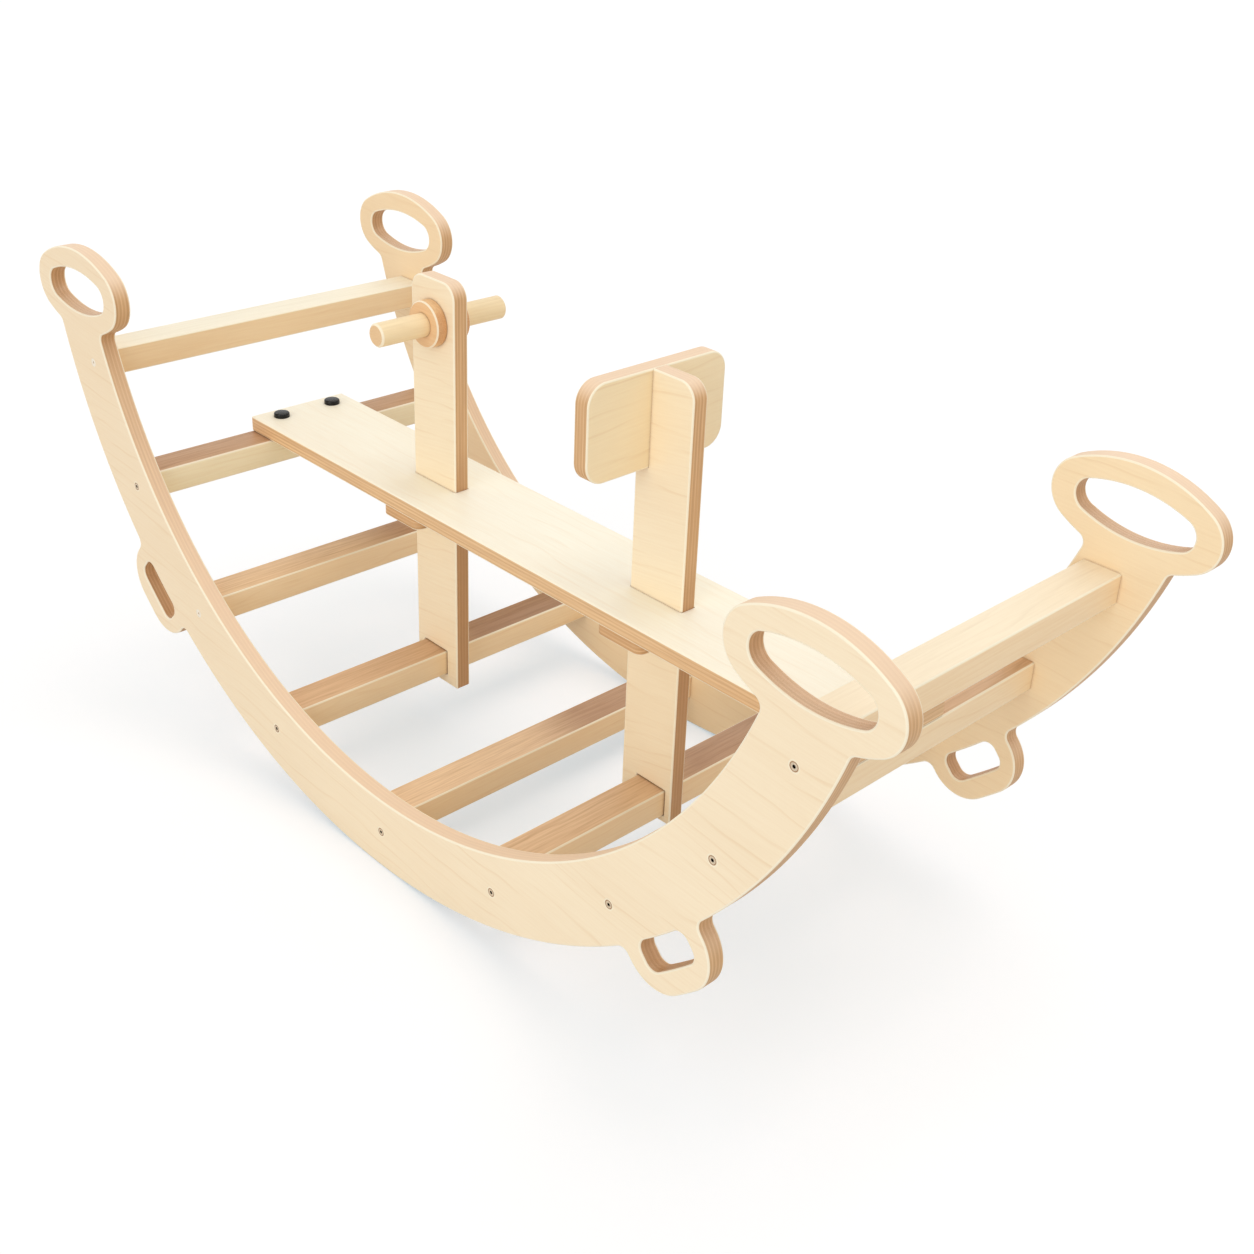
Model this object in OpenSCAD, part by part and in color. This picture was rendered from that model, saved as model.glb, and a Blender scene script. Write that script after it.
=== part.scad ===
// Wooden seesaw rocker for children.
//
// Two curved plywood side panels stand on their outer edge and are joined by nine square-edged
// rungs. A seat plank lies on the second rung from each end. Two upright posts stand through
// the plank and round the rungs under it: one carries a turning handlebar, the other a backrest.
//
// X runs along the rocker, Y across it and Z up. The origin is on the floor, halfway along and
// halfway across. The near side is at -Y, the handlebar end at -X.

/* [Side panels] */
// Radius of the rolling edge
roll_r = 600; // [560:5:680]
// Width of the curved band
band_w = 80; // [72:0.5:90]
// Thickness of the side panels
panel_t = 18; // [15:0.5:24]
// Width of the rocker over both side panels
rocker_w = 445; // [380:1:520]

/* [Grip loops] */
// Angle from straight down to the middle of a grip loop
loop_angle = 75.3; // [72:0.1:79]
// Distance from the rolling edge inwards to the middle of a grip loop
loop_inset = 52; // [45:0.5:56]
// Length of a grip loop
loop_len = 171.5; // [162:0.5:186]
// Height of a grip loop
loop_h = 94.5; // [88:0.5:102]
// Radius of the loop's rounded ends
loop_end_r = 33; // [28:0.5:37]
// Length of the hole in a grip loop
grip_len = 120; // [108:0.5:127]
// Height of the hole in a grip loop
grip_h = 48; // [40:0.5:53]
// Radius of the grip hole's rounded ends
grip_end_r = 16; // [12:0.5:18]
// Slope of a grip loop, falling outwards
loop_tilt = 2.8; // [0:0.1:6]
// Radius of the fillets where a grip loop leaves the band
neck_fillet = 9; // [4:0.5:14]

/* [Foot tabs] */
// Angle from straight down to the middle of a foot tab
tab_angle = 41.8; // [40:0.1:43]
// How far a foot tab stands out from the rolling edge
tab_out = 50.5; // [44:0.5:58]
// Width of a foot tab
tab_w = 107; // [100:1:116]
// Radius of a foot tab's outer corners
tab_corner = 40; // [30:0.5:43]
// Radius of the fillets where a foot tab leaves the rolling edge
tab_fillet = 10; // [5:0.5:14]
// Length of the slot in a foot tab
slot_len = 68; // [56:0.5:72]
// Width of the slot in a foot tab
slot_w = 29.5; // [24:0.5:34]
// Radius of the slot's corners
slot_corner = 11; // [6:0.5:12]
// Distance from the slot's inner side to the rolling edge, inwards
slot_inset = 1.5; // [0:0.5:6]

/* [Rungs] */
// Depth of a rung, along the rocker
rung_w = 40; // [34:1:44]
// Height of a rung
rung_h = 30; // [24:1:34]
// Rounding of a rung's long edges
rung_round = 2; // [1:0.5:4]
// Distance from the rolling edge inwards to the rung centres
rung_inset = 48; // [42:0.5:54]
// Angle from straight down to the rung in the handle post
handle_rung_angle = 19.3; // [18.6:0.1:20]
// Angle from straight down to the rung in the backrest post
backrest_rung_angle = 18.1; // [17.6:0.1:19.4]
// Angle from straight down to the rungs outside the posts
outer_rung_angle = 36.3; // [35.4:0.1:37.2]
// Angle from straight down to the rungs under the seat plank's ends
plank_rung_angle = 52.7; // [52:0.1:53.4]
// Angle from straight down to the end rungs
end_rung_angle = 67.4; // [66.8:0.1:68]

/* [Seat plank] */
// Thickness of the seat plank
plank_t = 18; // [15:0.5:24]
// Width of the seat plank
plank_w = 124; // [112:1:150]

/* [Posts] */
// Width of a post, along the rocker
post_w = 71; // [66:1:80]
// Thickness of a post
post_t = 18; // [15:0.5:21]
// Height of the posts above the seat plank
post_rise = 229.5; // [200:0.5:260]
// Rounding of a post's top corners
post_corner = 18; // [8:0.5:24]
// How far the posts reach below the lower of the rungs that they hold
post_foot = 8; // [5:0.5:12]
// Distance from the middle of the handle post's rung inwards to the middle of the post
handle_post_shift = 3; // [-8:0.5:8]
// Distance from the middle of the backrest post's rung inwards to the middle of the post
backrest_post_shift = 6.5; // [-8:0.5:9]

/* [Post cleats] */
// Thickness of the cleats under the seat plank
cleat_t = 18; // [12:0.5:20]
// Length of a cleat, along the rocker
cleat_len = 62; // [40:1:64]
// Width of a cleat, from the post outwards
cleat_w = 44.5; // [30:0.5:48]
// Rounding of a cleat's outer corners
cleat_corner = 9; // [4:0.5:12]

/* [Backrest] */
// Width of the backrest plate
backrest_w = 175; // [150:1:220]
// Height of the backrest plate
backrest_h = 98; // [85:1:110]
// Thickness of the backrest plate
backrest_t = 18; // [15:0.5:20]
// Rounding of the backrest plate's corners
backrest_corner = 21; // [10:0.5:30]

/* [Handlebar] */
// Diameter of the handlebar
bar_d = 25; // [20:0.5:30]
// Length of the handlebar
bar_len = 160; // [140:1:200]
// Distance from the top of the handle post down to the handlebar's axis
bar_drop = 47.5; // [38:0.5:70]
// Chamfer on the handlebar's ends
bar_chamfer = 2; // [1:0.5:4]
// Diameter of the collars beside the post
collar_d = 50; // [42:1:60]
// Thickness of a collar
collar_t = 12; // [8:0.5:16]
// Chamfer on a collar's outer rim
collar_chamfer = 1.5; // [0.5:0.5:3]
// Depth of the glue groove in the handlebar under each collar
groove_depth = 0.2; // [0.1:0.05:0.4]
// How far a glue groove lies outwards of its collar
groove_shift = 0.3; // [0.1:0.05:0.5]

/* [Fasteners] */
// Diameter of the wood screws
screw_d = 5; // [4:0.5:6]
// Diameter of the screws' countersunk heads
screw_head_d = 9.4; // [8:0.2:10]
// How far the panel screws stand outwards from the rung centres
screw_offset = 6; // [0:0.5:7]
// How far the panel screws stand towards the backrest end from the rung centres
screw_shift = 8; // [0:0.5:9]
// Length of the wood screws
screw_len = 50; // [40:1:55]
// Width of the hexagon socket in a screw or bolt, across its corners
socket_d = 3.6; // [3:0.1:4]
// Depth of the hexagon sockets
socket_depth = 1.8; // [1:0.1:2]
// Distance between the two backrest screws
backrest_screw_gap = 50; // [30:1:60]
// Diameter of the bolts that hold the seat plank
bolt_d = 6; // [5:0.5:8]
// Length of the seat bolts under their heads
bolt_len = 40; // [30:1:42]
// Diameter of the seat bolts' heads
bolt_head_d = 12; // [10:0.5:13]
// Height of the seat bolts' heads
bolt_head_h = 3; // [2:0.2:3.4]
// Distance from the plank's end to its bolts
bolt_from_end = 21; // [17:0.5:24]
// Distance between the two bolts at one end of the plank
bolt_gap = 69; // [50:0.5:80]
// Diameter of the bolts' cover caps
cap_d = 18; // [15.5:0.5:20]
// Height of the bolts' cover caps
cap_h = 5; // [4.8:0.2:7]
// Rounding of a cap's upper rim
cap_round = 1.5; // [0.5:0.1:1.6]

/* [Clearances] */
// Gap round a post in the plank and round a rung in a post, on each side
joint_clear = 0.2; // [0.1:0.05:0.5]
// Gap round the handlebar in its bore, on the radius
bar_clear = 0.08; // [0.02:0.01:0.1]
// Gap between a collar and the post that it runs on
collar_clear = 0.3; // [0.2:0.05:0.6]
// Gap round glued and screwed pieces, on the radius
seat_clear = 0.05; // [0.02:0.01:0.1]

/* [Hidden] */

// Greatest distance between a computed curve and the straight pieces that stand for it
curve_error = 0.03;
// Sides of the true circles that are drawn as cylinders
$fn = 64;
// Sides of a hexagon
hexagon = 6;
// How far a cutter runs past the face that it opens
cut_past = 1;

// Rung angles from the handlebar end to the backrest end
rung_angles = [
    -end_rung_angle, -plank_rung_angle, -outer_rung_angle, -handle_rung_angle, 0,
    backrest_rung_angle, outer_rung_angle, plank_rung_angle, end_rung_angle
];
// Which rungs carry the posts and the plank's ends
handle_rung = 4;
backrest_rung = 6;
plank_rungs = [2, 8];

band_inner_r = roll_r - band_w;
rung_r = roll_r - rung_inset;
loop_r = roll_r - loop_inset;
panel_gap = rocker_w - 2 * panel_t;
panel_inner_y = panel_gap / 2;
plank_z = rung_centre_z(plank_rung_angle) + rung_h / 2;
plank_top = plank_z + plank_t;
plank_half = rung_centre_x(plank_rung_angle) + rung_w / 2;
post_top = plank_top + post_rise;
post_bottom = rung_centre_z(backrest_rung_angle) - rung_h / 2 - post_foot;
bar_z = post_top - bar_drop;
collar_inner_y = post_t / 2 + collar_clear;
collar_outer_y = collar_inner_y + collar_t;
bolt_x = plank_half - bolt_from_end;
handle_post_x = handle_post_shift - rung_centre_x(handle_rung_angle);
backrest_post_x = rung_centre_x(backrest_rung_angle) - backrest_post_shift;

// Colours of the materials
ply_face = "#ead2a8";
solid_wood = "#e2c491";
steel = "#c9c6bd";
black_plastic = "#16181a";

// Height of a rung's centre above the floor, for its angle from straight down
function rung_centre_z(angle) = roll_r - rung_r * cos(angle);

// Place along the rocker of a rung's centre
function rung_centre_x(angle) = rung_r * sin(angle);

// Point at a radius from the arc centre and an angle from straight down
function polar(r, angle) = [r * sin(angle), -r * cos(angle)];

// Angle of the line from point a to point b, from +X
function heading(a, b) = atan2(b[1] - a[1], b[0] - a[0]);

// Angle that one straight piece of a curve of radius r turns through
function curve_step(r) = 2 * acos(1 - curve_error / r);

// Points on an arc about a centre, from one point on it to another. turn is 1 for an arc that
// runs counter-clockwise and -1 for one that runs clockwise. The last point is left out.
function arc(centre, from, to, turn) =
    let (
        r = norm(from - centre),
        start = heading(centre, from),
        swept = ((heading(centre, to) - start) * turn + 720) % 360,
        steps = max(2, ceil(swept / curve_step(r)))
    )
    [for (i = [0:1:steps - 1]) centre + r * [
        cos(start + turn * swept * i / steps),
        sin(start + turn * swept * i / steps)
    ]];

// Where two circles cross, on the left of the line from centre a to centre b for side 1 and on
// its right for side -1
function circles_meet(a, ra, b, rb, side) =
    let (
        d = norm(b - a),
        along = (ra * ra - rb * rb + d * d) / (2 * d),
        across = sqrt(ra * ra - along * along),
        unit = (b - a) / d
    )
    a + along * unit + side * across * [-unit[1], unit[0]];

// Point on the line from centre a towards point b, at distance r from a
function toward(a, b, r) = a + r * (b - a) / norm(b - a);

// Points turned about the origin by an angle
function turned(points, angle) = [
    for (p = points) [p[0] * cos(angle) - p[1] * sin(angle), p[0] * sin(angle) + p[1] * cos(angle)]
];

// Points in reverse order and mirrored in X, without the first and the last
function mirrored_back(points) = [
    for (i = [len(points) - 2:-1:1]) [-points[i][0], points[i][1]]
];

// Radius of an oval's long sides, where its ends have the radius end_r
function oval_side_r(length, height, end_r) =
    (pow(length / 2 - end_r, 2) + pow(height / 2, 2) - end_r * end_r) / (height - 2 * end_r);

// Centre of the oval's lower side arc, which lies above the oval's middle
function oval_low_centre(length, height, end_r) =
    [0, oval_side_r(length, height, end_r) - height / 2];

// Outline of an oval of four arcs, from point first to point last on its lower side, the long
// way round and counter-clockwise
function oval_between(length, height, end_r, first, last) =
    let (
        side_r = oval_side_r(length, height, end_r),
        low = oval_low_centre(length, height, end_r),
        high = -low,
        right = [length / 2 - end_r, 0],
        left = -right,
        low_right = toward(low, right, side_r),
        high_right = toward(high, right, side_r),
        high_left = toward(high, left, side_r),
        low_left = toward(low, left, side_r)
    )
    concat(
        arc(low, first, low_right, 1),
        arc(right, low_right, high_right, 1),
        arc(high, high_right, high_left, 1),
        arc(left, high_left, low_left, 1),
        arc(low, low_left, last, 1)
    );

// Whole outline of an oval of four arcs
function oval(length, height, end_r) =
    let (lowest = [0, -height / 2])
    oval_between(length, height, end_r, lowest, lowest);

// Outline of a slot that follows the rolling edge, straight down from the arc centre
function curved_slot(length, inner_r, outer_r, corner) =
    let (
        half = length / 2,
        inset = half - corner,
        out = [inset, -sqrt(pow(outer_r - corner, 2) - inset * inset)],
        in = [inset, -sqrt(pow(inner_r + corner, 2) - inset * inset)],
        right = concat(
            arc([0, 0], [0, -outer_r], toward([0, 0], out, outer_r), 1),
            arc(out, toward([0, 0], out, outer_r), out + [corner, 0], 1),
            arc(in, in + [corner, 0], toward([0, 0], in, inner_r), 1),
            arc([0, 0], toward([0, 0], in, inner_r), [0, -inner_r], -1),
            [[0, -inner_r]]
        )
    )
    concat(right, mirrored_back(right));

// Outline of a rectangle with its middle at the origin and rounded corners
function rounded_rectangle(width, height, corner) =
    let (
        x = width / 2 - corner,
        y = height / 2 - corner
    )
    concat(
        arc([x, y], [x + corner, y], [x, y + corner], 1),
        [[x, y + corner]],
        arc([-x, y], [-x, y + corner], [-x - corner, y], 1),
        [[-x - corner, y]],
        arc([-x, -y], [-x - corner, -y], [-x, -y - corner], 1),
        [[-x, -y - corner]],
        arc([x, -y], [x, -y - corner], [x + corner, -y], 1),
        [[x + corner, -y]]
    );

// Middle of the grip loop at the backrest end, seen from the arc centre
loop_centre = polar(loop_r, loop_angle);

// Point given in the grip loop's own directions, seen from the arc centre
function on_loop(point) = turned([point], -loop_tilt)[0] + loop_centre;

// Point seen from the arc centre, given in the grip loop's own directions
function in_loop(point) = turned([point - loop_centre], loop_tilt)[0];

// Outline of a foot tab straight down from the arc centre, with the fillets that lead into it
tab_half = tab_w / 2;
tab_r = roll_r + tab_out;
tab_blend = [
    -tab_half - tab_fillet,
    -sqrt(pow(roll_r + tab_fillet, 2) - pow(tab_half + tab_fillet, 2))
];
tab_turn = [
    tab_corner - tab_half,
    -sqrt(pow(tab_r - tab_corner, 2) - pow(tab_half - tab_corner, 2))
];
tab_left_half = concat(
    arc(tab_blend, toward([0, 0], tab_blend, roll_r), tab_blend + [tab_fillet, 0], -1),
    arc(tab_turn, tab_turn - [tab_corner, 0], toward([0, 0], tab_turn, tab_r), 1),
    arc([0, 0], toward([0, 0], tab_turn, tab_r), [0, -tab_r], 1)
);
tab_right_half = [
    for (i = [len(tab_left_half) - 1:-1:0]) [-tab_left_half[i][0], tab_left_half[i][1]]
];
tab_outline = turned(concat(tab_left_half, [[0, -tab_r]], tab_right_half), tab_angle);

// Fillets between the band and the underside of the grip loop
loop_low_centre = on_loop(oval_low_centre(loop_len, loop_h, loop_end_r));
loop_side_r = oval_side_r(loop_len, loop_h, loop_end_r);
outer_neck = circles_meet(
    [0, 0], roll_r + neck_fillet, loop_low_centre, loop_side_r + neck_fillet, -1
);
inner_neck = circles_meet(
    [0, 0], band_inner_r - neck_fillet, loop_low_centre, loop_side_r + neck_fillet, -1
);
loop_first = in_loop(toward(loop_low_centre, outer_neck, loop_side_r));
loop_last = in_loop(toward(loop_low_centre, inner_neck, loop_side_r));

// Outline of the panel's half at the backrest end, from the lowest point outwards and back
panel_half = concat(
    arc([0, 0], [0, -roll_r], tab_outline[0], 1),
    tab_outline,
    arc([0, 0], tab_outline[len(tab_outline) - 1], toward([0, 0], outer_neck, roll_r), 1),
    arc(outer_neck, toward([0, 0], outer_neck, roll_r), on_loop(loop_first), -1),
    [
        for (p = oval_between(loop_len, loop_h, loop_end_r, loop_first, loop_last))
            on_loop(p)
    ],
    arc(inner_neck, on_loop(loop_last), toward([0, 0], inner_neck, band_inner_r), -1),
    arc([0, 0], toward([0, 0], inner_neck, band_inner_r), [0, -band_inner_r], -1),
    [[0, -band_inner_r]]
);
panel_outline = concat(panel_half, mirrored_back(panel_half));

// Upright outlines are drawn in X and Z and given a thickness across the rocker, from the
// middle plane at y outwards to both sides
module upright(thickness, y) {
    translate([0, y + thickness / 2, 0])
        rotate([90, 0, 0])
            linear_extrude(thickness)
                children();
}

// Cylinder across the rocker, from y0 to y1
module cross_cylinder(x, z, y0, y1, r) {
    translate([x, max(y0, y1), z])
        rotate([90, 0, 0])
            cylinder(h = abs(y1 - y0), r = r);
}

// Wood screw pointing up, with its head's face at z = 0. A gap makes the screw's hole.
module wood_screw(gap) {
    head_r = screw_head_d / 2 + gap;
    shank_r = screw_d / 2 + gap;
    cone_h = (screw_head_d - screw_d) / 2;
    rotate_extrude()
        polygon([
            [0, 0], [head_r, 0], [head_r, gap], [shank_r, gap + cone_h],
            [shank_r, screw_len + gap], [0, screw_len + gap]
        ]);
}

// Hexagon socket in a head whose face is at z = 0, opening downwards
module socket() {
    translate([0, 0, -cut_past])
        cylinder(h = socket_depth + cut_past, d = socket_d, $fn = hexagon);
}

// Where the screws stand, with side -1 for the near panel and 1 for the far one
module at_panel_screws(side) {
    for (angle = rung_angles) {
        place = polar(rung_r + screw_offset, angle);
        translate([
            place[0] + screw_shift,
            side * (panel_inner_y + panel_t),
            roll_r + place[1]
        ])
            rotate([side * 90, 0, 0])
                children();
    }
}

// Where the two backrest screws stand, pointing along +X
module at_backrest_screws() {
    for (step = [-1, 1])
        translate([
            backrest_post_x - post_w / 2,
            0,
            post_top - backrest_h / 2 + step * backrest_screw_gap / 2
        ])
            rotate([0, 90, 0])
                children();
}

// Where the seat bolts stand, on the top of the plank
module at_seat_bolts() {
    for (end = [-1, 1], side = [-1, 1])
        translate([end * bolt_x, side * bolt_gap / 2, plank_top])
            children();
}

module side_panel(side) {
    difference() {
        upright(panel_t, side * (panel_inner_y + panel_t / 2))
            translate([0, roll_r])
                difference() {
                    polygon(panel_outline);
                    for (end = [0, 1])
                        mirror([end, 0]) {
                            translate(loop_centre)
                                rotate(-loop_tilt)
                                    polygon(oval(grip_len, grip_h, grip_end_r));
                            rotate(tab_angle)
                                polygon(curved_slot(
                                    slot_len,
                                    roll_r - slot_inset,
                                    roll_r - slot_inset + slot_w,
                                    slot_corner
                                ));
                        }
                }
        at_panel_screws(side)
            wood_screw(seat_clear);
    }
}

module near_side_panel() {
    color(ply_face)
        side_panel(-1);
}

module far_side_panel() {
    color(ply_face)
        side_panel(1);
}

// Rung with its number counted from the handlebar end
module rung(number) {
    angle = rung_angles[number - 1];
    color(solid_wood)
        difference() {
            translate([rung_centre_x(angle), 0, rung_centre_z(angle)])
                upright(panel_gap, 0)
                    polygon(rounded_rectangle(rung_w, rung_h, rung_round));
            for (side = [-1, 1])
                at_panel_screws(side)
                    wood_screw(seat_clear);
            if (len(search(number, plank_rungs)) > 0)
                at_seat_bolts()
                    seat_bolt_hole();
        }
}

// Hole for a seat bolt, down from the top of the plank
module seat_bolt_hole() {
    translate([0, 0, -bolt_len - seat_clear])
        cylinder(h = bolt_len + seat_clear + cut_past, r = bolt_d / 2 + seat_clear);
}

module seat_plank() {
    color(ply_face)
        difference() {
            translate([-plank_half, -plank_w / 2, plank_z])
                cube([2 * plank_half, plank_w, plank_t]);
            for (x = [handle_post_x, backrest_post_x])
                translate([
                    x - post_w / 2 - joint_clear,
                    -post_t / 2 - joint_clear,
                    plank_z - cut_past
                ])
                    cube([
                        post_w + 2 * joint_clear,
                        post_t + 2 * joint_clear,
                        plank_t + 2 * cut_past
                    ]);
            at_seat_bolts()
                seat_bolt_hole();
        }
}

// Post with rounded top corners and a hole for the rung that passes through it
module post(x, rung_number) {
    angle = rung_angles[rung_number - 1];
    left = x - post_w / 2;
    right = x + post_w / 2;
    top_left = [left + post_corner, post_top - post_corner];
    top_right = [right - post_corner, post_top - post_corner];
    upright(post_t, 0)
        difference() {
            polygon(concat(
                [[left, post_bottom], [right, post_bottom]],
                arc(top_right, top_right + [post_corner, 0], top_right + [0, post_corner], 1),
                [top_right + [0, post_corner]],
                arc(top_left, top_left + [0, post_corner], top_left - [post_corner, 0], 1),
                [top_left - [post_corner, 0]]
            ));
            translate([rung_centre_x(angle), rung_centre_z(angle)])
                square([rung_w + 2 * joint_clear, rung_h + 2 * joint_clear], center = true);
        }
}

module handle_post() {
    color(ply_face)
        difference() {
            post(handle_post_x, handle_rung);
            cross_cylinder(
                handle_post_x, bar_z, -post_t, post_t, bar_d / 2 + bar_clear
            );
        }
}

module backrest_post() {
    color(ply_face)
        difference() {
            post(backrest_post_x, backrest_rung);
            translate([
                backrest_post_x - post_w / 2 - cut_past,
                -post_t,
                post_top - backrest_h
            ])
                cube([backrest_t + cut_past, 2 * post_t, backrest_h + cut_past]);
            at_backrest_screws()
                wood_screw(seat_clear);
        }
}

module backrest_plate() {
    color(ply_face)
        difference() {
            translate([backrest_post_x - post_w / 2, 0, post_top - backrest_h / 2])
                rotate([90, 0, 90])
                    linear_extrude(backrest_t)
                        polygon(rounded_rectangle(backrest_w, backrest_h, backrest_corner));
            at_backrest_screws()
                wood_screw(seat_clear);
        }
}

// Cleat under the plank, flush with the post's edge at the handlebar end
module cleat(x, side) {
    inner = post_t / 2;
    outer = inner + cleat_w;
    left = x - post_w / 2;
    right = left + cleat_len;
    low_left = [left + cleat_corner, outer - cleat_corner];
    low_right = [right - cleat_corner, outer - cleat_corner];
    color(ply_face)
        translate([0, 0, plank_z - cleat_t])
            mirror([0, side < 0 ? 1 : 0, 0])
                linear_extrude(cleat_t)
                    polygon(concat(
                        [[left, inner], [right, inner]],
                        arc(low_right, low_right + [cleat_corner, 0],
                            low_right + [0, cleat_corner], 1),
                        [low_right + [0, cleat_corner]],
                        arc(low_left, low_left + [0, cleat_corner],
                            low_left - [cleat_corner, 0], 1),
                        [low_left - [cleat_corner, 0]]
                    ));
}

module handle_post_near_cleat() {
    cleat(handle_post_x, -1);
}

module handle_post_far_cleat() {
    cleat(handle_post_x, 1);
}

module backrest_post_near_cleat() {
    cleat(backrest_post_x, -1);
}

module backrest_post_far_cleat() {
    cleat(backrest_post_x, 1);
}

// Round piece about the handlebar's axis, from its profile of [radius, y] points
module turned_on_bar(profile) {
    translate([handle_post_x, 0, bar_z])
        rotate([-90, 0, 0])
            rotate_extrude()
                polygon(profile);
}

// Handlebar, with a shallow glue groove under each collar
module handlebar() {
    r = bar_d / 2;
    half = bar_len / 2;
    groove_r = r - groove_depth;
    groove_start = collar_inner_y + groove_shift;
    groove_end = collar_outer_y + groove_shift;
    right = [
        [r, groove_start], [groove_r, groove_start], [groove_r, groove_end], [r, groove_end],
        [r, half - bar_chamfer], [r - bar_chamfer, half], [0, half]
    ];
    left = [for (i = [len(right) - 1:-1:0]) [right[i][0], -right[i][1]]];
    color(solid_wood)
        turned_on_bar(concat(left, right));
}

// Collar glued on the handlebar beside the post
module collar(side) {
    inner = side * collar_inner_y;
    outer = side * collar_outer_y;
    hole_r = bar_d / 2 + seat_clear;
    rim_r = collar_d / 2;
    color(solid_wood)
        turned_on_bar([
            [hole_r, inner], [rim_r, inner], [rim_r, outer - side * collar_chamfer],
            [rim_r - collar_chamfer, outer], [hole_r, outer]
        ]);
}

module handlebar_near_collar() {
    collar(-1);
}

module handlebar_far_collar() {
    collar(1);
}

module panel_screws(side) {
    color(steel)
        at_panel_screws(side)
            difference() {
                wood_screw(0);
                socket();
            }
}

module near_panel_screws() {
    panel_screws(-1);
}

module far_panel_screws() {
    panel_screws(1);
}

module backrest_screws() {
    color(steel)
        at_backrest_screws()
            difference() {
                wood_screw(0);
                socket();
            }
}

module seat_bolts() {
    color(steel)
        at_seat_bolts()
            difference() {
                union() {
                    cylinder(h = bolt_head_h, d = bolt_head_d);
                    translate([0, 0, -bolt_len])
                        cylinder(h = bolt_len, d = bolt_d);
                }
                translate([0, 0, bolt_head_h])
                    mirror([0, 0, 1])
                        socket();
            }
}

// Hollow cap over a bolt's head
module bolt_cap() {
    rim = cap_d / 2 - cap_round;
    shoulder = cap_h - cap_round;
    difference() {
        rotate_extrude()
            polygon(concat(
                [[0, 0], [cap_d / 2, 0]],
                arc([rim, shoulder], [cap_d / 2, shoulder], [rim, cap_h], 1),
                [[rim, cap_h], [0, cap_h]]
            ));
        translate([0, 0, -cut_past])
            cylinder(h = bolt_head_h + seat_clear + cut_past, r = bolt_head_d / 2 + seat_clear);
    }
}

module seat_bolt_caps() {
    color(black_plastic)
        at_seat_bolts()
            bolt_cap();
}

near_side_panel();
far_side_panel();
rung(1);  // rung_1
rung(2);  // rung_2
rung(3);  // rung_3
rung(4);  // rung_4
rung(5);  // rung_5
rung(6);  // rung_6
rung(7);  // rung_7
rung(8);  // rung_8
rung(9);  // rung_9
seat_plank();
handle_post();
backrest_post();
backrest_plate();
handle_post_near_cleat();
handle_post_far_cleat();
backrest_post_near_cleat();
backrest_post_far_cleat();
handlebar();
handlebar_near_collar();
handlebar_far_collar();
near_panel_screws();
far_panel_screws();
backrest_screws();
seat_bolts();
seat_bolt_caps();
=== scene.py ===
"""Looks of the wooden seesaw rocker: wood materials, rounded edges, light and camera.

All lengths are in metres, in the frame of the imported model: X along the rocker, Y across it,
Z up, the origin on the floor under the middle. The grain and the plywood layers are worked out
from each point's place on its own piece, so they turn with the handlebar and look the same from
every side.
"""
import math

import bpy
from mathutils import Matrix, Vector


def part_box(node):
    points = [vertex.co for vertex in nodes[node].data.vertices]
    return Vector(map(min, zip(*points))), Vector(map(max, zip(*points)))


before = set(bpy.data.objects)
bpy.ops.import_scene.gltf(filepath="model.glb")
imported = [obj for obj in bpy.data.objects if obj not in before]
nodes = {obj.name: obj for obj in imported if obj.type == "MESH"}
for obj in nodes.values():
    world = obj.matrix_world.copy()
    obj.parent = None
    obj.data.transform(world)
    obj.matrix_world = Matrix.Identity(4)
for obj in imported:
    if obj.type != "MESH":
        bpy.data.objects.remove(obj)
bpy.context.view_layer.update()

AXES = {"X": 0, "Y": 1, "Z": 2}
CLEATS = ("handle_post_near_cleat", "handle_post_far_cleat",
          "backrest_post_near_cleat", "backrest_post_far_cleat")


def linear(red, green, blue):
    """Linear colour from 0-255 display values."""
    def one(v):
        v /= 255
        return v / 12.92 if v <= 0.04045 else ((v + 0.055) / 1.055) ** 2.4
    return one(red), one(green), one(blue), 1.0


# Small helpers for node trees

class Tree:
    """Adds nodes to a shader tree. Every method returns the new node's output."""

    def __init__(self, tree):
        self.tree = tree

    def add(self, kind, inputs=None, output=0, **settings):
        node = self.tree.nodes.new(kind)
        for name, value in settings.items():
            setattr(node, name, value)
        for name, value in (inputs or {}).items():
            if isinstance(value, bpy.types.NodeSocket):
                self.tree.links.new(value, node.inputs[name])
            else:
                node.inputs[name].default_value = value
        return node.outputs[output]

    def math(self, operation, a, b=0.0, clamp=False):
        return self.add("ShaderNodeMath", {0: a, 1: b}, operation=operation, use_clamp=clamp)

    def split(self, vector):
        node = self.tree.nodes.new("ShaderNodeSeparateXYZ")
        self.tree.links.new(vector, node.inputs[0])
        return list(node.outputs)

    def join(self, x, y, z):
        return self.add("ShaderNodeCombineXYZ", {0: x, 1: y, 2: z})

    def noise(self, vector, scale=1.0, detail=2.0, roughness=0.5):
        return self.add(
            "ShaderNodeTexNoise",
            {"Vector": vector, "Scale": scale, "Detail": detail, "Roughness": roughness},
        )

    def remap(self, value, low, high, to_low=0.0, to_high=1.0):
        return self.add(
            "ShaderNodeMapRange",
            {"Value": value, "From Min": low, "From Max": high,
             "To Min": to_low, "To Max": to_high},
            interpolation_type="SMOOTHSTEP",
        )

    def blend(self, factor, a, b):
        node = self.tree.nodes.new("ShaderNodeMix")
        node.data_type = "RGBA"
        for socket, value in (("Factor_Float", factor), ("A_Color", a), ("B_Color", b)):
            target = next(s for s in node.inputs if s.identifier == socket)
            if isinstance(value, bpy.types.NodeSocket):
                self.tree.links.new(value, target)
            else:
                target.default_value = value
        return next(s for s in node.outputs if s.identifier == "Result_Color")


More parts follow.
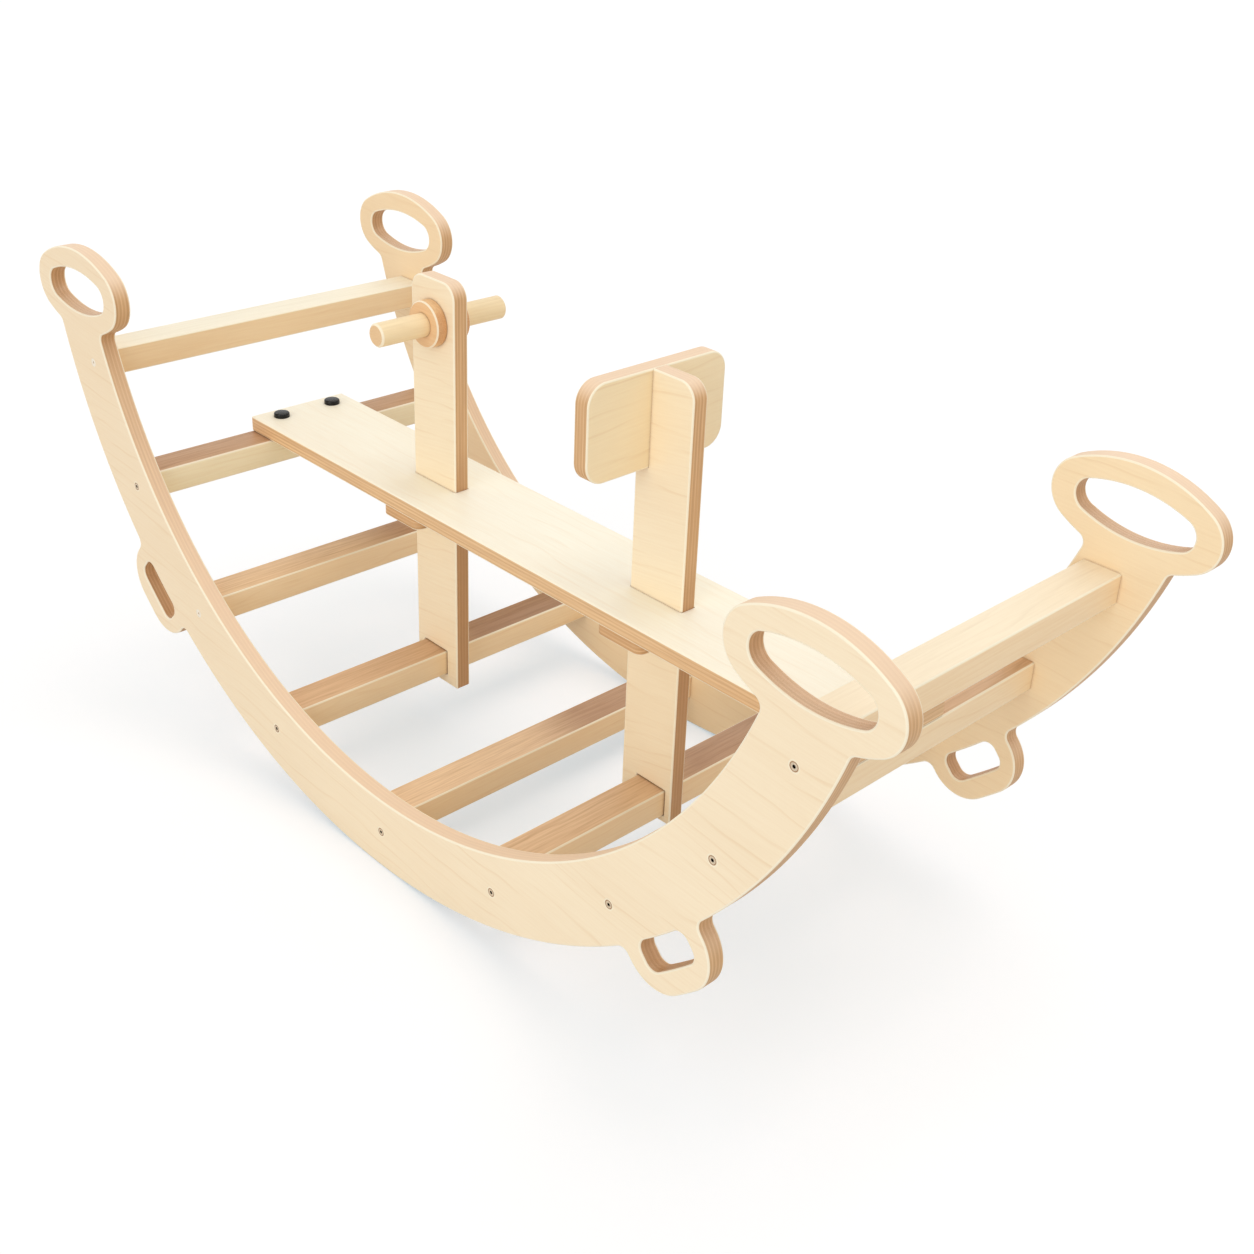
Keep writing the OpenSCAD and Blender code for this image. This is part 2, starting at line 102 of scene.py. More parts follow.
def darker(shade, factors):
    """A colour with its red, green and blue each multiplied by a factor."""
    return tuple(v * k for v, k in zip(shade, (*factors, 1.0)))


def new_material(name):
    """Empty node material, with its tree helper and its Principled shader."""
    material = bpy.data.materials.new(name)
    material.use_nodes = True
    shader = material.node_tree.nodes["Principled BSDF"]
    return material, Tree(material.node_tree), shader


def lacquer(shader, weight, roughness):
    """Thin clear varnish over wood."""
    shader.inputs["IOR"].default_value = 1.45
    shader.inputs["Coat Weight"].default_value = weight
    shader.inputs["Coat Roughness"].default_value = roughness


def connect(tree, shader, colour, roughness, height, distance, strength):
    """Joins a colour, a roughness and a height map to a shader."""
    links = tree.tree.links
    links.new(colour, shader.inputs["Base Color"])
    links.new(roughness, shader.inputs["Roughness"])
    bump = tree.add(
        "ShaderNodeBump", {"Height": height, "Distance": distance, "Strength": strength}
    )
    links.new(bump, shader.inputs["Normal"])


# In the sections below, a name that ends in _IN or _OUT is a range for remap: at its first
# value an effect is absent and at its second it is full. A name that ends in _SHARE is how
# much of an effect goes into the colour, and one that ends in _SCALE is in cycles per metre,
# as a pair along and across the grain.

WARP_SCALE = (3.2, 9.0)
PATCH_SCALE = (9.0, 60.0)
FIBRE_SCALE = (16.0, 430.0)
RINGS_PER_METRE = 62.0
RING_WARP = 4.6
PATCH_SHIFT = 7.3  # keeps the fading of the rings apart from their bends
LINE_IN, LINE_OUT = (0.76, 0.95), (1.0, 0.96)
PATCH_IN = (0.38, 0.66)
FIBRE_IN = (0.3, 0.75)
CLOUD_IN = (0.35, 0.75)


def stretched(tree, along, across, depth, scale, offset):
    """Place in the wood, drawn out along the grain by a pair of scales."""
    return tree.join(
        tree.math("ADD", tree.math("MULTIPLY", along, scale[0]), offset),
        tree.math("MULTIPLY", across, scale[1]),
        tree.math("MULTIPLY", depth, scale[1]),
    )


def grain_factors(tree, along, across, depth, seed):
    """Wood figure: broad tone, thin growth lines and fine fibres, each from 0 to 1.

    seed moves the figure along the grain, so that no two pieces look alike."""
    warp = tree.noise(stretched(tree, along, across, depth, WARP_SCALE, seed), detail=3.0)
    # growth rings, bent by the broad noise; each is a thin line that fades out in places
    rings = tree.math("ADD", tree.math("MULTIPLY", across, RINGS_PER_METRE),
                      tree.math("MULTIPLY", warp, RING_WARP))
    rings = tree.math("FRACT", tree.math(
        "ADD", rings, tree.math("MULTIPLY", depth, RINGS_PER_METRE)))
    line = tree.math("MULTIPLY", tree.remap(rings, *LINE_IN), tree.remap(rings, *LINE_OUT))
    patches = tree.noise(
        stretched(tree, along, across, depth, PATCH_SCALE, seed + PATCH_SHIFT), detail=2.0)
    growth = tree.math("MULTIPLY", line, tree.remap(patches, *PATCH_IN))
    fibres = tree.noise(stretched(tree, along, across, depth, FIBRE_SCALE, seed),
                        detail=4.0, roughness=0.6)
    return warp, growth, tree.remap(fibres, *FIBRE_IN)


def nearest_of(tree, place, spots):
    """Distance from a point to the nearest of some spots, at most 1 m."""
    nearest = 1.0
    for spot in spots:
        away = tree.add("ShaderNodeVectorMath", {0: place, 1: spot},
                        output=1, operation="DISTANCE")
        nearest = tree.math("MINIMUM", away, nearest)
    return nearest


# painted contact shade in the joints, found by ambient occlusion within this reach
CREVICE_REACH = 0.005
CREVICE_IN = (0.8, 0.3)
CREVICE_SHARE = 0.5


def crevice_shade(tree, colour):
    """Painted shade: darkens a colour where ambient occlusion finds the joints between pieces, as
    their contact shadow.
    """
    near = tree.add("ShaderNodeAmbientOcclusion", {"Distance": CREVICE_REACH},
                    output=1, samples=8)
    return tree.blend(tree.remap(near, *CREVICE_IN, 0.0, CREVICE_SHARE), colour, CREVICE_SHADE)


# Colours, as the camera shows them

FACE = linear(254, 236, 202)
FACE_LINE = linear(226, 184, 130)
FACE_RIGHT = linear(255, 236, 203)
FACE_LEFT = linear(249, 227, 192)
PLANK_FACE = linear(255, 249, 229)
PLANK_EDGE = linear(240, 199, 148)
PLATE_FACE = linear(255, 235, 195)
FAR_FACE_RIGHT = linear(254, 230, 190)
FAR_FACE_LEFT = linear(248, 220, 178)
EDGE = linear(225, 179, 127)
# the dark layer colour, also used for painted shade on the edges
EDGE_LAYER_AND_SHADE = linear(172, 122, 78)
EDGE_PALE = linear(242, 208, 162)
# painted light on upward edges in the open
EDGE_TOP_LIGHT = linear(252, 225, 195)
# painted highlight on rounded edges and round the screw holes
RIM_HIGHLIGHT = linear(255, 245, 219)
# painted shadow in the gap round the screw heads
GAP_SHADOW = linear(164, 118, 78)
# colour of the painted shade in the joints
CREVICE_SHADE = linear(138, 86, 44)
FILLER = linear(246, 234, 214)
ZINC, ZINC_DARK = linear(250, 232, 204), linear(226, 206, 178)
# painted shade in the screw sockets
SOCKET_SHADE = linear(74, 68, 62)
CAP, CAP_GREY = linear(8, 8, 9), linear(14, 14, 15)

# Factors on red, green and blue that give the darker parts of solid wood
TOP_FIBRE = (0.66, 0.56, 0.46)
SIDE_FIBRE = (0.86, 0.74, 0.6)
SAWN_END = (0.88, 0.76, 0.68)
END_PORE = (0.77, 0.6, 0.48)

WOOD_BUMP, WOOD_BUMP_STRENGTH = 0.00012, 0.45


# Plywood

PLY_LINE_SHARE, PLY_FIBRE_SHARE, PLY_CLOUD_SHARE = 0.21, 0.1, 0.1
FAR_TONE_IN = (0.25, -0.5)  # along X
PLY_CYCLES = 4.5  # pairs of a dark and a pale layer through a board
PLY_PHASE = 10.25
WAVES_PER_METRE = 22.0
WAVE_HEIGHT = 0.05  # as a share of the thickness
DARK_IN, DARK_OUT = (0.4, 0.68), (1.0, 0.8)
PALE_IN, PALE_OUT = (0.0, 0.2), (0.5, 0.26)
STREAK_SCALE = (11.0, 700.0)  # along the layers and through them
STREAK_IN = (0.34, 0.7)
PALE_SHARE, DARK_SHARE, STREAK_SHARE = 0.45, 0.2, 0.36
# painted shadow of the seat plank: the posts' edges turn browner below it, fading in inside the
# plank at these heights over its underside
LEG_SHADOW_IN = (0.016, 0.002)
LEG_SHADOW_SHARE = 0.46
# painted light on upward edges in the open, and painted shade on the walls of holes and slots
OPEN_REACH = 0.06  # edges with nothing this near are in the open
UPWARD_IN = (0.1, 1.0)  # by the normal's part along Z
OPEN_IN, SHUT_IN = (0.75, 0.97), (0.97, 0.6)
UPWARD_SHARE, SHUT_SHARE = 0.7, 0.5
# by the normal's part along the thin direction: the faces, and the painted highlight on their
# rounded corners
ON_FACE_IN = (0.2, 0.5)
RIM_IN, RIM_OUT = (0.15, 0.4), (0.999, 0.96)
RIM_SHARE = 0.75
# painted highlight round the screw holes
HOLE_RIM_IN = (0.0062, 0.0052)  # by the distance from the screw's axis
HOLE_RIM_SHARE = 0.7


def plywood(name, thick, grain, centre, thickness, seed, tilt=0.0, face=FACE, edge=EDGE,
            holes=(), figure=1.0, far_tone=None, legs_below=None):
    """Plywood with its layers along the axis thick and its face grain along the axis grain.

    tilt turns the face grain about the thick axis, in degrees. holes are the middles of the
    screws in it, which stand in a fine ring of painted highlight. figure is the strength of the
    growth lines. far_tone is the colour that face slowly turns into towards -X. Below the height
    legs_below the edges are browner with the seat plank's painted shadow."""
    material, tree, shader = new_material(name)
    lacquer(shader, 0.15, 0.35)
    place = tree.add("ShaderNodeTexCoord", output=3)
    normal = tree.split(tree.add("ShaderNodeTexCoord", output=1))
    xyz = tree.split(place)
    t, g = AXES[thick], AXES[grain]
    c = 3 - t - g
    ct, st = math.cos(math.radians(tilt)), math.sin(math.radians(tilt))
    along = tree.math("ADD", tree.math("MULTIPLY", xyz[g], ct), tree.math("MULTIPLY", xyz[c], st))
    across = tree.math(
        "SUBTRACT", tree.math("MULTIPLY", xyz[c], ct), tree.math("MULTIPLY", xyz[g], st)
    )
    warp, growth, fibres = grain_factors(tree, along, across, 0.0, seed)
    amount = tree.math("ADD", tree.math("MULTIPLY", growth, PLY_LINE_SHARE * figure),
                       tree.math("MULTIPLY", fibres, PLY_FIBRE_SHARE))
    amount = tree.math("ADD", amount, tree.remap(warp, *CLOUD_IN, 0.0, PLY_CLOUD_SHARE),
                       clamp=True)
    if far_tone:
        face = tree.blend(tree.remap(xyz[0], *FAR_TONE_IN), face, far_tone)
    face_colour = tree.blend(amount, face, FACE_LINE)

    # layers seen on the edges, a little wavy, with streaks that run along them
    level = tree.math("DIVIDE", tree.math("SUBTRACT", xyz[t], centre), thickness)
    wave = tree.noise(place, scale=WAVES_PER_METRE, detail=2.0)
    level = tree.math("ADD", level, tree.math("MULTIPLY", wave, WAVE_HEIGHT))
    cycle = tree.math(
        "FRACT", tree.math("ADD", tree.math("MULTIPLY", level, PLY_CYCLES), PLY_PHASE))
    dark = tree.math("MULTIPLY", tree.remap(cycle, *DARK_IN), tree.remap(cycle, *DARK_OUT))
    pale = tree.math("MULTIPLY", tree.remap(cycle, *PALE_IN), tree.remap(cycle, *PALE_OUT))
    drawn_out = [tree.math("MULTIPLY", value, STREAK_SCALE[n == t])
                 for n, value in enumerate(xyz)]
    streaks = tree.remap(tree.noise(tree.join(*drawn_out), detail=5.0, roughness=0.66),
                         *STREAK_IN)
    edge_colour = tree.blend(tree.math("MULTIPLY", pale, PALE_SHARE), edge, EDGE_PALE)
    edge_colour = tree.blend(tree.math("MULTIPLY", dark, DARK_SHARE), edge_colour, EDGE_LAYER_AND_SHADE)
    edge_colour = tree.blend(tree.math("MULTIPLY", streaks, STREAK_SHARE),
                             edge_colour, EDGE_LAYER_AND_SHADE)
    # painted shadow of the seat plank on the posts' edges below it
    if legs_below:
        leg = tree.remap(xyz[2], legs_below + LEG_SHADOW_IN[0], legs_below + LEG_SHADOW_IN[1],
                         0.0, LEG_SHADOW_SHARE)
        edge_colour = tree.blend(leg, edge_colour, EDGE_LAYER_AND_SHADE)
    if thick != "Z":
        # painted light and shade found by ambient occlusion: upward edges are paler in the open,
        # and the walls of holes and slots darker
        open_air = tree.add("ShaderNodeAmbientOcclusion", {"Distance": OPEN_REACH}, output=1,
                            samples=4)
        top_light = tree.math("MULTIPLY", tree.remap(normal[2], *UPWARD_IN, 0.0, UPWARD_SHARE),
                          tree.remap(open_air, *OPEN_IN))
        edge_colour = tree.blend(top_light, edge_colour, EDGE_TOP_LIGHT)
        edge_colour = tree.blend(tree.remap(open_air, *SHUT_IN, 0.0, SHUT_SHARE),
                                 edge_colour, EDGE_LAYER_AND_SHADE)

    facing = tree.math("ABSOLUTE", normal[t])
    on_face = tree.remap(facing, *ON_FACE_IN)
    rim_highlight = tree.math("MULTIPLY", tree.remap(facing, *RIM_IN), tree.remap(facing, *RIM_OUT))
    colour = tree.blend(on_face, edge_colour, face_colour)
    # painted highlight on the rounded corners
    colour = tree.blend(tree.math("MULTIPLY", rim_highlight, RIM_SHARE), colour, RIM_HIGHLIGHT)
    if holes:
        ring = tree.remap(nearest_of(tree, place, holes), *HOLE_RIM_IN)
        colour = tree.blend(tree.math("MULTIPLY", ring, HOLE_RIM_SHARE), colour, RIM_HIGHLIGHT)
    colour = crevice_shade(tree, colour)

    # from 0.4 to 0.48 with the fibres, and on the edges 0.12 more
    roughness = tree.math("ADD", tree.remap(fibres, 0.0, 1.0, 0.4, 0.48),
                          tree.remap(on_face, 0.0, 1.0, 0.12, 0.0))
    relief = tree.blend(on_face, streaks, fibres)
    connect(tree, shader, colour, roughness, relief, WOOD_BUMP, WOOD_BUMP_STRENGTH)
    return material


# Solid wood

SOLID_LINE_SHARE, SOLID_FIBRE_SHARE, SOLID_CLOUD_SHARE = 0.28, 0.3, 0.16
LEVEL_IN = (0.35, 0.85)  # by the normal's part along Z
SHADOW_TOP_IN = (-0.04, 0.06)  # along Y
END_IN = (0.6, 0.9)  # by the normal's part along the grain
PORES_PER_METRE = 900.0
PORE_IN = (0.35, 0.7)
SAWN_RIM_IN = (0.1, 0.38)  # by the product of the normal's parts along X and Z
SAWN_RIM_SHARE = 0.8
TURNED_RIM_IN, TURNED_RIM_OUT = (0.3, 0.6), (0.95, 0.8)  # by the normal's part along Y
TURNED_RIM_SHARE = 0.7


def solid_wood(name, side, top, seed, grain="Y", rim=None, streak=0.45, figure=1.0,
               shadow_top=None):
    """Sawn or turned solid wood, with the grain along one axis.

    side is the colour of the upright faces and top that of the level ones, which are browner on
    most rungs. rim paints a highlight on the rounded edges: "sawn" the long ones of a rung,
    "turned" the round ones of a piece turned about Y. streak is the strength of the fibres on
    the level faces, and figure that of the growth lines and clouds. shadow_top is the colour of
    the seat plank's painted shadow, which top turns into on the +Y half."""
    material, tree, shader = new_material(name)
    lacquer(shader, 0.1, 0.38)
    place = tree.add("ShaderNodeTexCoord", output=3)
    normal = tree.split(tree.add("ShaderNodeTexCoord", output=1))
    xyz = tree.split(place)
    g = AXES[grain]
    others = [n for n in range(3) if n != g]
    warp, growth, fibres = grain_factors(
        tree, xyz[g], xyz[others[0]], xyz[others[1]], seed
    )
    level = tree.remap(tree.math("ABSOLUTE", normal[2]), *LEVEL_IN)
    deep_top = darker(top, TOP_FIBRE)
    # painted shadow of the seat plank over the +Y half of the top
    if shadow_top:
        far = tree.remap(xyz[1], *SHADOW_TOP_IN)
        top = tree.blend(far, top, shadow_top)
        deep_top = tree.blend(far, deep_top, darker(shadow_top, TOP_FIBRE))
    base = tree.blend(level, side, top)
    deeper = tree.blend(level, darker(side, SIDE_FIBRE), deep_top)
    fibre_share = tree.remap(level, 0.0, 1.0, SOLID_FIBRE_SHARE, streak)
    amount = tree.math("ADD", tree.math("MULTIPLY", growth, SOLID_LINE_SHARE * figure),
                       tree.math("MULTIPLY", fibres, fibre_share))
    clouds = tree.remap(warp, *CLOUD_IN, 0.0, SOLID_CLOUD_SHARE * figure)
    amount = tree.math("ADD", amount, clouds, clamp=True)
    colour = tree.blend(amount, base, deeper)
    # sawn ends show their pores and are a little darker
    on_end = tree.remap(tree.math("ABSOLUTE", normal[g]), *END_IN)
    pores = tree.remap(tree.noise(place, scale=PORES_PER_METRE, detail=2.0), *PORE_IN)
    end_colour = tree.blend(pores, darker(side, SAWN_END), darker(side, END_PORE))
    colour = tree.blend(on_end, colour, end_colour)
    # painted highlight on the rounded long edges
    if rim == "sawn":
        corner = tree.math("MULTIPLY", tree.math("ABSOLUTE", normal[0]),
                           tree.math("ABSOLUTE", normal[2]))
        colour = tree.blend(tree.remap(corner, *SAWN_RIM_IN, 0.0, SAWN_RIM_SHARE), colour, RIM_HIGHLIGHT)
    # painted highlight on the round edges
    if rim == "turned":
        slope = tree.math("ABSOLUTE", normal[1])
        corner = tree.math("MULTIPLY", tree.remap(slope, *TURNED_RIM_IN),
                           tree.remap(slope, *TURNED_RIM_OUT))
        colour = tree.blend(tree.math("MULTIPLY", corner, TURNED_RIM_SHARE), colour, RIM_HIGHLIGHT)
    colour = crevice_shade(tree, colour)
    roughness = tree.remap(fibres, 0.0, 1.0, 0.42, 0.54)
    connect(tree, shader, colour, roughness, fibres, WOOD_BUMP, WOOD_BUMP_STRENGTH)
    return material


# Steel and plastic

STEEL_CLOUDS_PER_METRE = 700.0
STEEL_CLOUD_IN = (0.3, 0.75)
# painted shade in the sockets, by depth
SOCKET_IN = (0.0002, 0.0006)  # down from the head's face
# by the distance from the screw's axis: the ring of painted shadow in the gap round the head, and
# the filler over two of the heads
RING_IN, RING_OUT = (0.0032, 0.0037), (0.0046, 0.0041)
FILLER_IN = (0.009, 0.008)
STEEL_BUMP, STEEL_BUMP_STRENGTH = 0.00005, 0.3
CAP_CLOUDS_PER_METRE, CAP_GRAIN_PER_METRE = 260.0, 1400.0
CAP_CLOUD_IN = (0.35, 0.7)
CAP_BUMP, CAP_BUMP_STRENGTH = 0.00002, 0.15


def steel(name, axis, face, inward, heads=(), filled=()):
    """Zinc-plated screw heads, slightly uneven, with painted shade in the socket.

    face is where the heads' faces are along the axis, and inward is 1 or -1, the direction
    in which their sockets go down from there. heads are the middles of heads with a brown ring
    of painted shadow in the gap round them, outside which wood filler closes the gap to the
    panel. filled are the middles of heads that filler covers."""
    material, tree, shader = new_material(name)
    shader.inputs["Metallic"].default_value = 1.0
    place = tree.add("ShaderNodeTexCoord", output=3)
    cloud = tree.remap(tree.noise(place, scale=STEEL_CLOUDS_PER_METRE, detail=3.0),
                       *STEEL_CLOUD_IN)
    colour = tree.blend(cloud, ZINC, ZINC_DARK)
    down = tree.math("MULTIPLY", tree.math("SUBTRACT", tree.split(place)[AXES[axis]], face),
                     float(inward))
    colour = tree.blend(tree.remap(down, *SOCKET_IN), colour, SOCKET_SHADE)
    roughness = tree.remap(cloud, 0.0, 1.0, 0.28, 0.42)
    if heads:
        away = nearest_of(tree, place, heads)
        ring = tree.math("MULTIPLY", tree.remap(away, *RING_IN), tree.remap(away, *RING_OUT))
        outside = tree.remap(away, RING_OUT[1], RING_OUT[0])
        covered = tree.remap(nearest_of(tree, place, filled), *FILLER_IN)
        # painted shadow ring in the gap round each head
        colour = tree.blend(ring, colour, GAP_SHADOW)
        colour = tree.blend(outside, colour, FACE)
        colour = tree.blend(covered, colour, FILLER)
        wood = tree.math("MAXIMUM", tree.math("MAXIMUM", ring, outside), covered)
        roughness = tree.math("ADD", roughness, tree.math("MULTIPLY", wood, 0.2))
        metal = tree.math("SUBTRACT", 1.0, wood)
        tree.tree.links.new(metal, shader.inputs["Metallic"])
    connect(tree, shader, colour, roughness, cloud, STEEL_BUMP, STEEL_BUMP_STRENGTH)
    return material


def black_cap(name):
    """Moulded black plastic with a fine, slightly uneven gloss."""
    material, tree, shader = new_material(name)
    shader.inputs["IOR"].default_value = 1.36
    place = tree.add("ShaderNodeTexCoord", output=3)
    fine = tree.noise(place, scale=CAP_GRAIN_PER_METRE, detail=3.0)
    cloud = tree.remap(tree.noise(place, scale=CAP_CLOUDS_PER_METRE, detail=2.0),
                       *CAP_CLOUD_IN)
    colour = tree.blend(cloud, CAP, CAP_GREY)
    roughness = tree.remap(cloud, 0.0, 1.0, 0.2, 0.28)
    connect(tree, shader, colour, roughness, fine, CAP_BUMP, CAP_BUMP_STRENGTH)
    return material


# What each piece wears

HEAD_REACH = 0.012  # points of one screw head are nearer to each other than this
ON_FACE = 0.00001  # how near the panel's face a head's points lie


def wear(node, material):
    """Gives a node its one material."""
    slots = nodes[node].data.materials
    if len(slots):
        for n in range(len(slots)):
            slots[n] = material
    else:
        slots.append(material)


def middle(node, axis):
    low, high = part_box(node)
    return (low[AXES[axis]] + high[AXES[axis]]) / 2


def depth(node, axis):
    low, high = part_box(node)
    return high[AXES[axis]] - low[AXES[axis]]


def ply_for(node, thick, grain, seed, **look):
    """Plywood fitted to one node, of which thick is the thin direction."""
    wear(node, plywood("plywood_" + node, thick, grain, middle(node, thick),
                       depth(node, thick), seed, **look))


def screw_heads(node, face):
    """Middles of the panel screws' heads: one for each rung, found from the screws' mesh."""
    points = [v.co for v in nodes[node].data.vertices
              if abs(abs(v.co.y) - face) < ON_FACE]
    groups = []
    for p in points:
        group = next((g for g in groups if (g[0] - p).length < HEAD_REACH), None)
        if group is None:
            groups.append([p])
        else:
            group.append(p)
    heads = []
    for g in groups:
        xs, zs = [p.x for p in g], [p.z for p in g]
        heads.append(((min(xs) + max(xs)) / 2, g[0].y, (min(zs) + max(zs)) / 2))
    return sorted(heads)


panel_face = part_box("far_side_panel")[1].y
near_heads = screw_heads("near_panel_screws", panel_face)
far_heads = screw_heads("far_panel_screws", panel_face)
near_filled = (near_heads[0], near_heads[2])  # at rungs 1 and 3, as in the photo
ply_for("near_side_panel", "Y", "X", 3.1, tilt=-4.0, face=FACE_RIGHT, far_tone=FACE_LEFT,
        holes=[head for head in near_heads if head not in near_filled])
ply_for("far_side_panel", "Y", "X", 11.7, tilt=-2.0, face=FAR_FACE_RIGHT,
        far_tone=FAR_FACE_LEFT, holes=far_heads)
ply_for("seat_plank", "Z", "X", 21.4, face=PLANK_FACE, edge=PLANK_EDGE, figure=0.5)
plank_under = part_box("seat_plank")[0].z
ply_for("handle_post", "Y", "X", 31.9, tilt=8.0, legs_below=plank_under)
ply_for("backrest_post", "Y", "X", 47.2, tilt=8.0, legs_below=plank_under)
ply_for("backrest_plate", "X", "Y", 53.8, tilt=4.0, face=PLATE_FACE, figure=1.3)
for n, cleat in enumerate(CLEATS):
    ply_for(cleat, "Z", "X", 61.0 + 5 * n)

RUNG_SIDE = linear(255, 229, 188)
RUNG_TOP = linear(220, 180, 138)
RUNG_SIDES = {1: linear(250, 219, 173), 2: linear(255, 242, 205), 5: linear(252, 223, 180),
              6: linear(253, 224, 181), 9: linear(254, 225, 182)}
RUNG_TOPS = {1: linear(255, 245, 220), 2: linear(200, 159, 121), 3: linear(242, 206, 162),
             4: linear(234, 194, 152), 5: linear(252, 216, 174), 6: linear(239, 201, 158),
             9: linear(255, 237, 205)}
# painted shadow of the seat plank: the tops of the middle rungs are browner on their far halves
RUNG_SHADOWED_TOPS = {3: linear(180, 136, 94), 4: linear(172, 133, 100), 5: linear(189, 148, 112),
                 6: linear(186, 146, 111)}
for n in range(1, 10):
    bright = n in (1, 9)
    wear("rung_%d" % n, solid_wood("rung_wood_%d" % n, RUNG_SIDES.get(n, RUNG_SIDE),
                                   RUNG_TOPS.get(n, RUNG_TOP), 4.7 * n,
                                   rim="sawn", streak=0.12 if bright else 0.5,
                                   figure=0.4 if bright else 1.0,
                                   shadow_top=RUNG_SHADOWED_TOPS.get(n)))
DOWEL = linear(255, 231, 186)
wear("handlebar", solid_wood("handlebar_wood", DOWEL, DOWEL, 71.0, rim="turned", streak=0.25,
                             figure=0.5))
COLLAR = linear(240, 198, 148)
for n, name in enumerate(("handlebar_near_collar", "handlebar_far_collar")):
    wear(name, solid_wood(name + "_wood", COLLAR, COLLAR, 77.0 + 3 * n, grain="X",
                          rim="turned"))
for name, axis, face, inward, heads, filled in (
        ("near_panel_screws", "Y", -panel_face, 1, near_heads, near_filled),
        ("far_panel_screws", "Y", panel_face, -1, far_heads, ()),
        ("backrest_screws", "X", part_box("backrest_screws")[0].x, 1, (), ()),
        ("seat_bolts", "Z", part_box("seat_bolts")[1].z, -1, (), ())):
    wear(name, steel("zinc_" + name, axis, face, inward, heads, filled))
wear("seat_bolt_caps", black_cap("black_plastic"))


# Smooth shading and rounded edges, as modifiers over the CAD meshes

SHARP_ANGLE = math.radians(30)
SHORTEST_EDGE = 0.0013  # shorter edges are the steps of curves, which stay as they are
NO_EDGE = 1.0  # longer than any edge, so that none is rounded
ON_OUTLINE = 0.0005  # how near a rectangle's side an edge lies that belongs to it
IN_JOINT = 0.0002  # how near a joint's plane an edge lies that stays sharp
WELD_DISTANCE = 0.00001
FLAT_ANGLE = math.radians(0.4)
WIDE, NARROW = 0.0016, 0.0013
BEVEL_SEGMENTS = 3


def edge_group(name, shortest=SHORTEST_EDGE, box=None, joints=()):
    """Geometry nodes that smooth a mesh, keep its sharp edges sharp and mark the sharp edges
    longer than shortest for the bevel. With box, (half x, half y), only edges on the outline
    of that rectangle are marked. joints are planes, (axis, value), in which edges meet
    another piece and stay sharp."""
    group = bpy.data.node_groups.new(name, "GeometryNodeTree")
    group.interface.new_socket("Geometry", in_out="INPUT", socket_type="NodeSocketGeometry")
    group.interface.new_socket("Geometry", in_out="OUTPUT", socket_type="NodeSocketGeometry")
    tree = Tree(group)
    start = group.nodes.new("NodeGroupInput").outputs[0]
    angle = tree.add("GeometryNodeInputMeshEdgeAngle")
    sharp = tree.add("FunctionNodeCompare", {0: angle, 1: SHARP_ANGLE},
                     operation="GREATER_THAN")
    smooth = tree.add("GeometryNodeSetShadeSmooth", {"Geometry": start, "Shade Smooth": True})
    marked = tree.add("GeometryNodeStoreNamedAttribute",
                      {"Geometry": smooth, "Name": "sharp_edge", "Value": sharp},
                      data_type="BOOLEAN", domain="EDGE")
    ends = group.nodes.new("GeometryNodeInputMeshEdgeVertices")
    length = tree.add("ShaderNodeVectorMath", {0: ends.outputs[2], 1: ends.outputs[3]},
                      output=1, operation="DISTANCE")
    long_one = tree.add("FunctionNodeCompare", {0: length, 1: shortest},
                        operation="GREATER_THAN")
    chosen = tree.add("FunctionNodeBooleanMath", {0: sharp, 1: long_one}, operation="AND")
    if box:
        spot = tree.add("ShaderNodeVectorMath", {0: ends.outputs[2], 1: ends.outputs[3]},
                        operation="ADD")
        xyz = tree.split(spot)
        outer = []
        for value, half in zip(xyz, box):
            # the sum of the two ends is twice the middle
            outer.append(tree.add(
                "FunctionNodeCompare",
                {0: tree.math("ABSOLUTE", value), 1: 2 * (half - ON_OUTLINE)},
                operation="GREATER_THAN"))
        outside = tree.add("FunctionNodeBooleanMath", {0: outer[0], 1: outer[1]}, operation="OR")
        chosen = tree.add("FunctionNodeBooleanMath", {0: chosen, 1: outside}, operation="AND")
    for axis, value in joints:
        off = [tree.math("ABSOLUTE", tree.math("SUBTRACT", tree.split(e)[AXES[axis]], value))
               for e in (ends.outputs[2], ends.outputs[3])]
        away = tree.add("FunctionNodeCompare",
                        {0: tree.math("MAXIMUM", *off), 1: IN_JOINT},
                        operation="GREATER_THAN")
        chosen = tree.add("FunctionNodeBooleanMath", {0: chosen, 1: away}, operation="AND")
    weight = tree.add("GeometryNodeSwitch", {"Switch": chosen, "False": 0.0, "True": 1.0},
                      input_type="FLOAT")
    weighted = tree.add("GeometryNodeStoreNamedAttribute",
                        {"Geometry": marked, "Name": "bevel_weight_edge", "Value": weight},
                        data_type="FLOAT", domain="EDGE")
    end = group.nodes.new("NodeGroupOutput")
    group.links.new(weighted, end.inputs[0])
    return group


def finish_edges(node, group, width=None):
    """Welds, cleans and smooths one node with modifiers, and rounds its marked edges."""
    piece = nodes[node]
    weld = piece.modifiers.new("weld", "WELD")
    weld.merge_threshold = WELD_DISTANCE
    clean = piece.modifiers.new("clean", "DECIMATE")
    clean.decimate_type = "DISSOLVE"
    clean.angle_limit = FLAT_ANGLE
    mark = piece.modifiers.new("mark", "NODES")
    mark.node_group = group
    if width:
        bevel = piece.modifiers.new("round", "BEVEL")
        bevel.limit_method = "WEIGHT"
        bevel.loop_slide = False
        bevel.width = width
        bevel.segments = BEVEL_SEGMENTS
        normals = piece.modifiers.new("normals", "WEIGHTED_NORMAL")
        normals.keep_sharp = True


